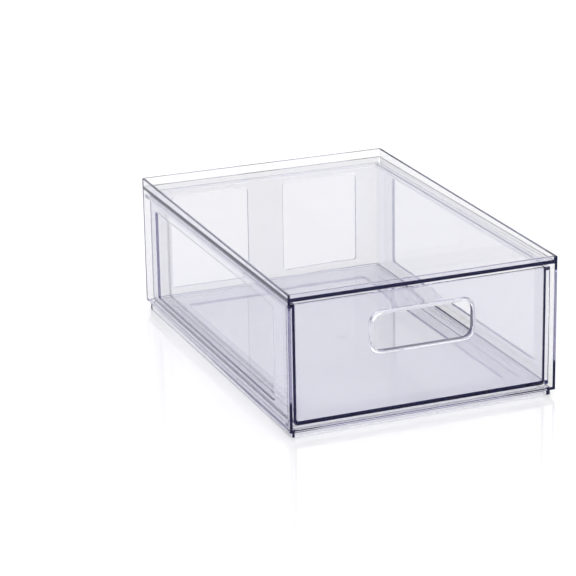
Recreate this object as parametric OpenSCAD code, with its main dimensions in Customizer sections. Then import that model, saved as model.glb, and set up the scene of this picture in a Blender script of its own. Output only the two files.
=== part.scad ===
// Stackable drawer box: a clear casing that is open at the front, and one
// drawer that slides out of it. Both are thin-walled mouldings.
// Millimetres. The origin is the centre of the footprint, on the surface the
// box stands on. +X is to the right, -Y is the open front, +Z is up.

/* [Casing] */
// Overall width of the casing
casing_w = 264; // [230:1:320]
// Overall depth of the casing, front to back
casing_d = 392; // [350:1:450]
// Height of the deck's top face above the ground
deck_z = 131.2; // [129:0.1:165]
// Thickness of the side walls, the back wall and the rim
casing_t = 2.8; // [2.2:0.1:3.2]
// Thickness of the top deck
deck_t = 3.1; // [2.4:0.1:4]
// Thickness of the base plate
base_t = 2.8; // [2.2:0.1:3.4]
// Radius of the two vertical corners at the back
casing_r = 2; // [1:0.5:4]

/* [Stacking] */
// Height of the rim above the deck, at the front
rim_front = 3.8; // [2.5:0.1:4.5]
// Height of the rim above the deck, at the back
rim_back = 8; // [5:0.1:8.5]
// Height of the foot ring under the base
foot_h = 5.6; // [5:0.1:8]
// Distance from the casing's outer faces in to the foot ring
foot_inset = 3.5; // [3.3:0.1:5]
// Thickness of the foot ring
foot_t = 3; // [2:0.1:4]

/* [Casing windows] */
// Solid post in front of each side window
side_post_front = 36.3; // [20:0.1:60]
// Solid post behind each side window
side_post_back = 39.7; // [20:0.1:60]
// Height of each side window's lower edge above the ground
side_win_z = 24; // [18:0.1:40]
// Height of each side window
side_win_h = 90.5; // [40:0.1:98]
// Post between the two back windows
back_post = 38.8; // [20:0.1:60]
// Solid post at each side of the back wall
back_side_post = 30.6; // [20:0.1:50]
// Height of the back windows' lower edge above the ground
back_win_z = 19.2; // [16:0.1:40]
// Height of the back windows
back_win_h = 94.3; // [40:0.1:102]
// Border of the base plate around its window
base_border = 35.2; // [30:0.1:60]
// Corner radius of the windows in the walls
window_r = 3; // [1:0.5:8]
// Corner radius of the window in the base plate
base_window_r = 5; // [2:0.5:10]

/* [Rails] */
// Height of the two rails that the drawer slides on
rail_h = 0.8; // [0.5:0.1:2]
// Width of each rail
rail_w = 1.6; // [1:0.1:4]
// Distance of each rail from the middle of the box
rail_x = 110; // [104:0.1:112]
// Length of each rail
rail_len = 328; // [250:1:360]

/* [Drawer] */
// Gap between the casing's side wall and the drawer's side wall
drawer_gap = 4.3; // [4:0.1:8]
// Height of the drawer
drawer_h = 114.1; // [112:0.1:117]
// Distance of the closed drawer's front behind the casing's front
drawer_setback = 7; // [3:0.5:8]
// Clearance behind the closed drawer
drawer_back_gap = 3.2; // [3:0.1:8]
// Thickness of the drawer's walls
drawer_t = 2.7; // [2.2:0.1:3.4]
// Thickness of the drawer's floor
drawer_floor = 3.4; // [2.4:0.1:4]
// Radius of the drawer's outer edges, at the bottom and at the back corners
drawer_r = 3.2; // [2:0.1:4]
// Width of the lip that runs round the top of the sides and the back
lip_w = 3.5; // [2:0.1:3.7]
// Height of the lip
lip_h = 3.8; // [2.5:0.1:6]

/* [Finger slot] */
// Width of the slot
slot_w = 98.2; // [80:0.1:120]
// Height of the slot
slot_h = 35.1; // [25:0.1:45]
// Corner radius of the slot
slot_r = 9.3; // [6:0.1:12]
// Height of the slot's middle above the ground
slot_z = 85.8; // [70:0.1:93]
// Width of the raised collar round the slot
collar_w = 3.4; // [2.2:0.1:4.2]
// How far the collar stands out from the drawer's front
collar_out = 2.8; // [1:0.1:3.2]

/* [Hidden] */
$fn = 48;
e = 1;                                  // overrun of a cut, past the face it opens

clear_plastic = [0.90, 0.90, 0.97, 0.45];

half_d = casing_d/2;
rise = rim_back - rim_front;            // rise of the rim from front to back
bay_top = deck_z - deck_t;              // under the deck
base_z = foot_h + base_t;               // top face of the base plate
bay_w = casing_w - 2*casing_t;          // inside width of the casing
drawer_play = 0.1;                      // running clearance over the rails

step_w = 2.8;                           // inner step that joins walls to base
step_z = foot_h + rise + 1.6;           // top of that step
step_front = 12;                        // the step starts this far behind the front

drawer_w = bay_w - 2*drawer_gap;
drawer_y0 = -half_d + drawer_setback;
drawer_y1 = half_d - casing_t - drawer_back_gap;
drawer_d = drawer_y1 - drawer_y0;
drawer_z = base_z + rail_h + drawer_play;
drawer_top = drawer_z + drawer_h;
drawer_r_in = 2.4;                      // radius of the edges inside the drawer
lip_back = 2;                           // the lip is narrower behind the drawer

gate_d = 6;                             // sprue gate mark of the casing
drawer_gate_d = 10;                     // sprue gate mark of the drawer

// A plate in X and Y whose four vertical corners are round.
module round_plate(w, d, h, r) {
    translate([-w/2 + r, -d/2, 0]) cube([w - 2*r, d, h]);
    translate([-w/2, -d/2 + r, 0]) cube([w, d - 2*r, h]);
    for (x = [-1, 1], y = [-1, 1])
        translate([x*(w/2 - r), y*(d/2 - r), 0]) cylinder(h = h, r = r);
}

// The same with only the two corners at the back round.
module back_round_plate(w, d, h, r) {
    translate([-w/2 + r, -d/2, 0]) cube([w - 2*r, d, h]);
    translate([-w/2, -d/2, 0]) cube([w, d - r, h]);
    for (x = [-1, 1])
        translate([x*(w/2 - r), d/2 - r, 0]) cylinder(h = h, r = r);
}

// A cutter for a window in a wall that faces X.
module window_x(len, h, t, r) {
    rotate([0, 90, 0]) translate([0, 0, -t/2]) round_plate(h, len, t, r);
}

// A cutter for a window in a wall that faces Y.
module window_y(w, h, t, r) {
    rotate([90, 0, 0]) translate([0, 0, -t/2]) round_plate(w, h, t, r);
}

// A profile given in Y and Z, run along X from x0 for len.
module along_x(x0, len, profile) {
    translate([x0, 0, 0]) rotate([90, 0, 90]) linear_extrude(height = len) polygon(profile);
}

// A tub's form with a flat front: round along the bottom edges of the sides
// and the back, and at the two upright corners at the back.
module tub_form(w, d, h, r) {
    translate([-w/2 + r, -d/2, 0]) cube([w - 2*r, d - r, h]);
    translate([-w/2, -d/2, r]) cube([w, d - r, h - r]);
    translate([-w/2 + r, -d/2, r]) cube([w - 2*r, d, h - r]);
    for (x = [-1, 1]) translate([x*(w/2 - r), d/2 - r, r]) {
        cylinder(h = h - r, r = r);
        sphere(r = r);
        rotate([90, 0, 0]) cylinder(h = d - r, r = r);
    }
    translate([-w/2 + r, d/2 - r, r]) rotate([0, 90, 0]) cylinder(h = w - 2*r, r = r);
}

// A round bead that follows a rounded rectangle in X and Z, r at the corners.
module bead(w, h, r, bead_r) {
    for (z = [-1, 1]) translate([-w/2 + r, 0, z*h/2])
        rotate([0, 90, 0]) cylinder(h = w - 2*r, r = bead_r);
    for (x = [-1, 1]) translate([x*w/2, 0, -h/2 + r]) cylinder(h = h - 2*r, r = bead_r);
    for (a = [0, 90, 180, 270])
        translate([(a == 0 || a == 270 ? 1 : -1)*(w/2 - r), 0,
                   (a < 180 ? 1 : -1)*(h/2 - r)])
            rotate([90, 0, 0]) rotate([0, 0, a])
                rotate_extrude(angle = 90) translate([r, 0]) circle(r = bead_r);
}

module foot_ring() {
    w = casing_w - 2*foot_inset;
    d = casing_d - 2*foot_inset;
    difference() {
        round_plate(w, d, foot_h + 0.5, 0.6);
        translate([0, 0, -e])
            round_plate(w - 2*foot_t, d - 2*foot_t, foot_h + 0.5 + 2*e, 0.8);
    }
}

// The space for the drawer, open at the front. It is narrower at the bottom,
// where the step joins the walls to the base.
module bay() {
    translate([-bay_w/2, -half_d - e, step_z])
        cube([bay_w, casing_d - casing_t + e, bay_top - step_z]);
    translate([-bay_w/2 + step_w, -half_d - e, base_z])
        cube([bay_w - 2*step_w, casing_d - casing_t - step_w + e, step_z - base_z + e]);
    translate([-bay_w/2, -half_d - e, base_z])
        cube([bay_w, step_front + e, step_z - base_z + e]);
}

// What is cut away outside the foot ring. The lower edge of the walls rises
// towards the back as the rim does, so that one box fits on the next.
module wall_undercut() {
    y0 = -half_d + step_front;          // where the edge starts to rise
    y1 = half_d - foot_inset;           // where it is level again
    slope = rise/(y1 - y0);
    for (s = [-1, 1]) translate([s == 1 ? 0 : -2*casing_w + 2*foot_inset, 0, 0])
        along_x(casing_w/2 - foot_inset, casing_w,
                [[y0 - 10, foot_h - 2], [half_d + e, foot_h - 2],
                 [half_d + e, foot_h + rise], [y1, foot_h + rise],
                 [y0 - 10, foot_h - 10*slope]]);
    translate([-casing_w, y1, foot_h - 2]) cube([2*casing_w, foot_inset + e, rise + 2]);
}

// The casing is one moulding: base, walls, deck, rim, foot ring and rails.
module casing() {
    side_len = casing_d - side_post_front - side_post_back;
    back_w = (casing_w - 2*back_side_post - back_post)/2;
    rim_top = deck_z + rim_back;
    color(clear_plastic) {
        difference() {
            union() {
                translate([0, 0, foot_h])
                    back_round_plate(casing_w, casing_d, rim_top - foot_h, casing_r);
                foot_ring();
            }
            bay();
            wall_undercut();
            // the rim's top slopes up from front to back
            along_x(-casing_w, 2*casing_w,
                    [[-half_d - e, deck_z + rim_front - rise*e/casing_d],
                     [half_d + e, rim_top + rise*e/casing_d],
                     [half_d + e, rim_top + 20], [-half_d - e, rim_top + 20]]);
            // the stacking recess on top
            translate([0, 0, deck_z])
                round_plate(bay_w, casing_d - 2*casing_t, rim_back + e, 0.8);
            // one window in each side wall
            for (s = [-1, 1])
                translate([s*(casing_w - casing_t)/2, (side_post_front - side_post_back)/2,
                           side_win_z + side_win_h/2])
                    window_x(side_len, side_win_h, casing_t + 2*e, window_r);
            // two windows in the back wall
            for (s = [-1, 1])
                translate([s*(back_post + back_w)/2, half_d - casing_t/2,
                           back_win_z + back_win_h/2])
                    window_y(back_w, back_win_h, casing_t + 2*e, window_r);
            // one window in the base plate
            translate([0, 0, foot_h - e])
                round_plate(casing_w - 2*base_border, casing_d - 2*base_border,
                            base_t + 2*e, base_window_r);
            // the gate mark, sunk in the outside of the back wall
            translate([0, half_d + e, 70]) rotate([90, 0, 0]) cylinder(h = 0.5 + e, d = gate_d);
        }
        // the two rails, sunk a little into the base plate
        for (s = [-1, 1]) translate([s*rail_x - rail_w/2, -rail_len/2, base_z - 0.5])
            cube([rail_w, rail_len, rail_h + 0.5]);
    }
}

// The drawer is one moulding: a tub with a front plate, a lip and a finger slot.
module drawer() {
    yc = (drawer_y0 + drawer_y1)/2;
    plate_w = drawer_w + 2*lip_w;
    bead_r = (collar_w*collar_w + collar_out*collar_out)/(2*collar_out);
    color(clear_plastic)
    difference() {
        union() {
            translate([0, yc, drawer_z])
                tub_form(drawer_w, drawer_d, drawer_h, drawer_r);
            // the front plate, wider than the tub
            translate([-plate_w/2, drawer_y0, drawer_z]) cube([plate_w, drawer_t, drawer_h]);
            // the lip along both sides and across the back
            translate([-plate_w/2, drawer_y0, drawer_top - lip_h])
                cube([plate_w, drawer_d + lip_back, lip_h]);
            // the collar round the finger slot, highest at the slot's edge
            translate([0, drawer_y0 - collar_out + bead_r, slot_z])
                bead(slot_w, slot_h, slot_r, bead_r);
        }
        // the gate mark, sunk in the underside of the floor
        translate([0, yc, drawer_z - e]) cylinder(h = 1 + e, d = drawer_gate_d);
        // the inside of the tub
        translate([0, yc, drawer_z + drawer_floor])
            tub_form(drawer_w - 2*drawer_t, drawer_d - 2*drawer_t,
                     drawer_h - drawer_floor + e, drawer_r_in);
        // the finger slot
        translate([0, drawer_y0 + drawer_t/2 - collar_out/2, slot_z])
            window_y(slot_w, slot_h, drawer_t + collar_out + 2*e, slot_r);
    }
}

casing();
drawer();
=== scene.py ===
import math

import bmesh
import bpy
from mathutils import Matrix, Vector


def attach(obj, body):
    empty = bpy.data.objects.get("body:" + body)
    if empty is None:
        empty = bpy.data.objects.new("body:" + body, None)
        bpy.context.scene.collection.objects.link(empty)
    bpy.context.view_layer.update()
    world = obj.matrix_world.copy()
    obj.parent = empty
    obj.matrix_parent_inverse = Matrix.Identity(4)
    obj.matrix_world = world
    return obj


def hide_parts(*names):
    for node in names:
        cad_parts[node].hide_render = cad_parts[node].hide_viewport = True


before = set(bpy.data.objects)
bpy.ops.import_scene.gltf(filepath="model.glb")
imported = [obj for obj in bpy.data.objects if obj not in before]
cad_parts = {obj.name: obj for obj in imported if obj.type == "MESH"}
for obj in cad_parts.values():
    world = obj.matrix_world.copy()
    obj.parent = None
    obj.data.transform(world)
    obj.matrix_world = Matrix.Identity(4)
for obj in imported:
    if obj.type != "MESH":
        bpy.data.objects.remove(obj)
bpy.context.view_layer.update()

scene = bpy.context.scene

# ---------------------------------------------------------------- camera
# Fitted to the box's outer corners in the 576 x 576 frame.
FOCAL_PX = 2424.0777
AZ, EL, ROLL = math.radians(21.7134), math.radians(18.6308), math.radians(-1.0560)
fwd = Vector((math.sin(AZ) * math.cos(EL), math.cos(AZ) * math.cos(EL), -math.sin(EL)))
right = fwd.cross(Vector((0, 0, 1))).normalized()
up = right.cross(fwd)
r2 = right * math.cos(ROLL) + up * math.sin(ROLL)
u2 = up * math.cos(ROLL) - right * math.sin(ROLL)
cam_data = bpy.data.cameras.new("camera")
cam_data.sensor_fit = "HORIZONTAL"
cam_data.sensor_width = 36.0
cam_data.lens = FOCAL_PX / 576.0 * 36.0
cam_data.clip_start = 0.05
cam_data.clip_end = 60.0
cam = bpy.data.objects.new("camera", cam_data)
scene.collection.objects.link(cam)
rot = Matrix((r2, u2, -fwd)).transposed().to_4x4()
cam.matrix_world = Matrix.Translation(Vector((-0.86747, -2.04443, 0.81269))) @ rot
scene.camera = cam


# ---------------------------------------------------------------- materials
def new_material(name):
    m = bpy.data.materials.new(name)
    m.use_nodes = True
    t = m.node_tree
    for n in list(t.nodes):
        t.nodes.remove(n)
    return m, t


def node(t, kind, **values):
    n = t.nodes.new(kind)
    for k, v in values.items():
        if k in n.inputs:
            n.inputs[k].default_value = v
        else:
            setattr(n, k, v)
    return n


def band(t, socket, low, high, soft):
    """1 where the value lies between low and high, with a soft edge outside them."""
    up = node(t, "ShaderNodeMapRange", interpolation_type="SMOOTHSTEP")
    up.inputs["From Min"].default_value = low - soft
    up.inputs["From Max"].default_value = low
    down = node(t, "ShaderNodeMapRange", interpolation_type="SMOOTHSTEP")
    down.inputs["From Min"].default_value = high + soft
    down.inputs["From Max"].default_value = high
    t.links.new(socket, up.inputs["Value"])
    t.links.new(socket, down.inputs["Value"])
    return times(t, up.outputs["Result"], down.outputs["Result"])


def times(t, a, b):
    n = node(t, "ShaderNodeMath", operation="MULTIPLY")
    for i, v in enumerate((a, b)):
        if isinstance(v, (int, float)):
            n.inputs[i].default_value = v
        else:
            t.links.new(v, n.inputs[i])
    return n.outputs["Value"]


def plus(t, a, b):
    n = node(t, "ShaderNodeMath", operation="ADD")
    t.links.new(a, n.inputs[0])
    t.links.new(b, n.inputs[1])
    return n.outputs["Value"]


def noise(t, vector, scale, stretch, seed, detail=1.5, distortion=0.3):
    m = node(t, "ShaderNodeMapping")
    m.inputs["Location"].default_value = (seed * 1.7, seed * 0.6, seed * 2.3)
    m.inputs["Scale"].default_value = stretch
    n = node(t, "ShaderNodeTexNoise", Scale=scale, Detail=detail, Roughness=0.45,
             Distortion=distortion)
    t.links.new(vector, m.inputs["Vector"])
    t.links.new(m.outputs["Vector"], n.inputs["Vector"])
    return n.outputs["Fac"]


def clear_plastic(name, seed, sigma, front=False):
    """Clear moulded plastic: it takes its lavender tint from the depth of plastic looked
    through, and the mould's faint waves are in its surface. The front panel also has the
    flow marks over its slot, where the plastic met again, and a breath of haze."""
    m, t = new_material(name)
    L = t.links.new
    out = t.nodes.new("ShaderNodeOutputMaterial")
    bsdf = t.nodes.new("ShaderNodeBsdfPrincipled")
    bsdf.inputs["Base Color"].default_value = (1, 1, 1, 1)
    bsdf.inputs["Roughness"].default_value = 0.0
    bsdf.inputs["IOR"].default_value = 1.57
    bsdf.inputs["Transmission Weight"].default_value = 1.0 - BODY_HAZE
    bsdf.inputs["Specular Tint"].default_value = SPEC_TINT
    L(bsdf.outputs["BSDF"], out.inputs["Surface"])
    vol = t.nodes.new("ShaderNodeVolumeAbsorption")
    vol.inputs["Color"].default_value = tuple(1 - q / DENSITY for q in sigma) + (1,)
    vol.inputs["Density"].default_value = DENSITY
    L(vol.outputs["Volume"], out.inputs["Volume"])

    at = node(t, "ShaderNodeTexCoord").outputs["Object"]
    # long, faint waves of the polished mould
    height = times(t, noise(t, at, 14.0, (1, 1, 1), seed), WAVE)
    if front:
        sep = node(t, "ShaderNodeSeparateXYZ")
        L(at, sep.inputs["Vector"])
        x, y, z = (sep.outputs[k] for k in "XYZ")
        on_front = band(t, y, -0.195, -0.1885, 0.0002)
        over_slot = times(t, band(t, x, -0.026, 0.026, 0.018), band(t, z, 0.109, 0.122, 0.004))
        marks = times(t, times(t, noise(t, at, 1.0, (55, 20, 95), 5, 1.0, 0.8), FLOW),
                      times(t, over_slot, on_front))
        height = plus(t, height, marks)
        panel = times(t, times(t, band(t, x, -0.1215, 0.1215, 0.0008),
                               band(t, z, 0.0140, 0.1220, 0.0008)),
                      band(t, y, -0.195, -0.1865, 0.0004))
        facing = node(t, "ShaderNodeSeparateXYZ")
        L(node(t, "ShaderNodeNewGeometry").outputs["True Normal"], facing.inputs["Vector"])
        flat = band(t, facing.outputs["Y"], -1.1, -0.9, 0.05)
        clear = node(t, "ShaderNodeMapRange")
        clear.inputs["To Min"].default_value = 1.0 - BODY_HAZE
        clear.inputs["To Max"].default_value = 1.0 - HAZE
        L(times(t, panel, flat), clear.inputs["Value"])
        L(clear.outputs["Result"], bsdf.inputs["Transmission Weight"])
    bump = node(t, "ShaderNodeBump", Strength=1.0, Distance=0.001)
    L(height, bump.inputs["Height"])
    L(bump.outputs["Normal"], bsdf.inputs["Normal"])
    return m


SPEC_TINT = (0.28, 0.29, 0.95, 1)
DENSITY = 60.0
WAVE = 0.12
FLOW = 0.22
HAZE = 0.32
BODY_HAZE = 0.006

# absorption per metre: red, green, blue
plastic_a = clear_plastic("casing_clear", 1, (33.0, 33.5, 24.5))
plastic_b = clear_plastic("drawer_clear", 2, (38.0, 38.5, 27.5), front=True)


# ---------------------------------------------------------------- the two mouldings
def moulding(name, src, body, mat, radius, skip=None):
    """The CAD node's own form with the small edge radii of a real moulding."""
    bm = bmesh.new()
    bm.from_mesh(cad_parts[src].data)
    bmesh.ops.remove_doubles(bm, verts=bm.verts, dist=1e-6)
    bmesh.ops.dissolve_limit(bm, angle_limit=math.radians(0.3), verts=bm.verts, edges=bm.edges)
    bm.normal_update()
    curved = bm.faces.layers.int.new("curved")
    for f in bm.faces:
        longest = max(e.calc_length() for e in f.edges)
        f[curved] = f.calc_area() / longest < 0.0026 and any(
            len(e.link_faces) == 2 and math.radians(1) < e.calc_face_angle(0) < math.radians(35)
            for e in f.edges)
    pick = [e for e in bm.edges if len(e.link_faces) == 2 and e.is_convex
            and e.calc_face_angle(0) > math.radians(35) and not (skip and skip(e))]
    made = bmesh.ops.bevel(bm, geom=pick, offset=radius, offset_type="OFFSET", segments=3,
                           profile=0.5, affect="EDGES", clamp_overlap=False)["faces"]
    for f in made:
        f[curved] = 1
    for f in bm.faces:
        f.smooth = f[curved] == 1
    bmesh.ops.triangulate(bm, faces=[f for f in bm.faces if len(f.verts) > 4])
    me = bpy.data.meshes.new(name)
    bm.to_mesh(me)
    bm.free()
    ob = bpy.data.objects.new(name, me)
    scene.collection.objects.link(ob)
    me.materials.append(mat)
    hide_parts(src)
    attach(ob, body)
    return ob


def left_sharp(e):
    """Edges that keep their corner: the base plate's window and the back of the foot."""
    c = (e.verts[0].co + e.verts[1].co) / 2
    in_base = abs(c.x) < 0.0975 and abs(c.y) < 0.1615 and c.z < 0.0085
    foot_back = abs(c.x) > 0.1260 and c.y > 0.1900 and c.z < 0.0075
    return in_base or foot_back


def slot_edge(e):
    """The edges of the finger slot's own opening keep their corner."""
    c = (e.verts[0].co + e.verts[1].co) / 2
    return abs(c.x) < 0.0495 and abs(c.z - 0.0858) < 0.0180


casing = moulding("casing_moulding", "casing", "casing", plastic_a, 0.00045, left_sharp)
drawer = moulding("drawer_moulding", "drawer", "drawer", plastic_b, 0.00045, slot_edge)

# ---------------------------------------------------------------- floor and light
bm = bmesh.new()
bmesh.ops.create_grid(bm, x_segments=8, y_segments=8, size=6.0)
me = bpy.data.meshes.new("floor")
bm.to_mesh(me)
bm.free()
floor = bpy.data.objects.new("floor", me)
floor.location = (0, 0, -0.0003)      # the air under the foot, which touches it only here and there
scene.collection.objects.link(floor)
# the floor glows evenly white; the lower glow under the box is a painted shadow
FLOOR_GLOW = 0.30
PAINTED_SHADOW_GLOW = 0.24
fm, ft = new_material("floor_white")
out = ft.nodes.new("ShaderNodeOutputMaterial")
b = ft.nodes.new("ShaderNodeBsdfPrincipled")
b.inputs["Base Color"].default_value = (0.62, 0.62, 0.62, 1)
b.inputs["Roughness"].default_value = 0.10
b.inputs["IOR"].default_value = 1.8
b.inputs["Emission Color"].default_value = (1, 1, 1, 1)
# painted shadow: the floor's glow is turned down over the box's footprint, a painted shade standing
# in for the light its walls keep out
at = node(ft, "ShaderNodeSeparateXYZ")
ft.links.new(node(ft, "ShaderNodeTexCoord").outputs["Object"], at.inputs["Vector"])
painted_shadow_mask = times(ft, band(ft, at.outputs["X"], -0.105, 0.105, 0.024),
              band(ft, at.outputs["Y"], -0.170, 0.170, 0.024))
glow_with_painted_shadow = node(ft, "ShaderNodeMapRange")
glow_with_painted_shadow.inputs["To Min"].default_value = FLOOR_GLOW
glow_with_painted_shadow.inputs["To Max"].default_value = PAINTED_SHADOW_GLOW
ft.links.new(painted_shadow_mask, glow_with_painted_shadow.inputs["Value"])
ft.links.new(glow_with_painted_shadow.outputs["Result"], b.inputs["Emission Strength"])
ft.links.new(b.outputs["BSDF"], out.inputs["Surface"])
floor.data.materials.append(fm)

ROOM = (0.22, 0.22, 0.27, 1)
ZENITH = (1.45, 1.45, 1.46, 1)
BACKDROP = (1.0, 1.0, 1.01, 1)
STRIP = (2.2, 2.2, 2.25, 1)
world = bpy.data.worlds.new("studio")
scene.world = world
world.use_nodes = True
wt = world.node_tree
for n in list(wt.nodes):
    wt.nodes.remove(n)
wo = wt.nodes.new("ShaderNodeOutputWorld")
bg = wt.nodes.new("ShaderNodeBackground")
bg.inputs["Strength"].default_value = 1.0
wt.links.new(bg.outputs["Background"], wo.inputs["Surface"])
# a soft box overhead, a white backdrop behind the box, and a dim room around
wc = node(wt, "ShaderNodeTexCoord")
sep = node(wt, "ShaderNodeSeparateXYZ")
wt.links.new(wc.outputs["Generated"], sep.inputs["Vector"])
ramp = node(wt, "ShaderNodeValToRGB")
wt.links.new(sep.outputs["Z"], ramp.inputs["Fac"])
ramp.color_ramp.interpolation = "EASE"
ramp.color_ramp.elements[0].position = 0.05
ramp.color_ramp.elements[0].color = ROOM
ramp.color_ramp.elements[1].position = 0.70
ramp.color_ramp.elements[1].color = ZENITH
dot = node(wt, "ShaderNodeVectorMath", operation="DOT_PRODUCT")
wt.links.new(wc.outputs["Generated"], dot.inputs[0])
dot.inputs[1].default_value = (math.sin(math.radians(30)), math.cos(math.radians(30)), 0.0)
lobe = node(wt, "ShaderNodeMapRange", interpolation_type="SMOOTHSTEP")
lobe.inputs["From Min"].default_value = 0.66
lobe.inputs["From Max"].default_value = 0.86
wt.links.new(dot.outputs["Value"], lobe.inputs["Value"])
back = node(wt, "ShaderNodeValToRGB")
wt.links.new(sep.outputs["Z"], back.inputs["Fac"])
back.color_ramp.elements[0].position = 0.16
back.color_ramp.elements[0].color = STRIP
back.color_ramp.elements[1].position = 0.24
back.color_ramp.elements[1].color = BACKDROP
mix = node(wt, "ShaderNodeMixRGB")
wt.links.new(lobe.outputs["Result"], mix.inputs["Fac"])
wt.links.new(ramp.outputs["Color"], mix.inputs["Color1"])
wt.links.new(back.outputs["Color"], mix.inputs["Color2"])
wt.links.new(mix.outputs["Color"], bg.inputs["Color"])

scene.view_settings.view_transform = "Standard"
scene.view_settings.look = "None"
scene.view_settings.exposure = 0.0
scene.view_settings.gamma = 1.0
c = scene.cycles
c.max_bounces = 32
c.transmission_bounces = 32
c.glossy_bounces = 16
c.diffuse_bounces = 4
c.transparent_max_bounces = 16
c.volume_bounces = 0
c.caustics_reflective = True
c.caustics_refractive = True
c.blur_glossy = 0.0
c.sample_clamp_indirect = 0.0
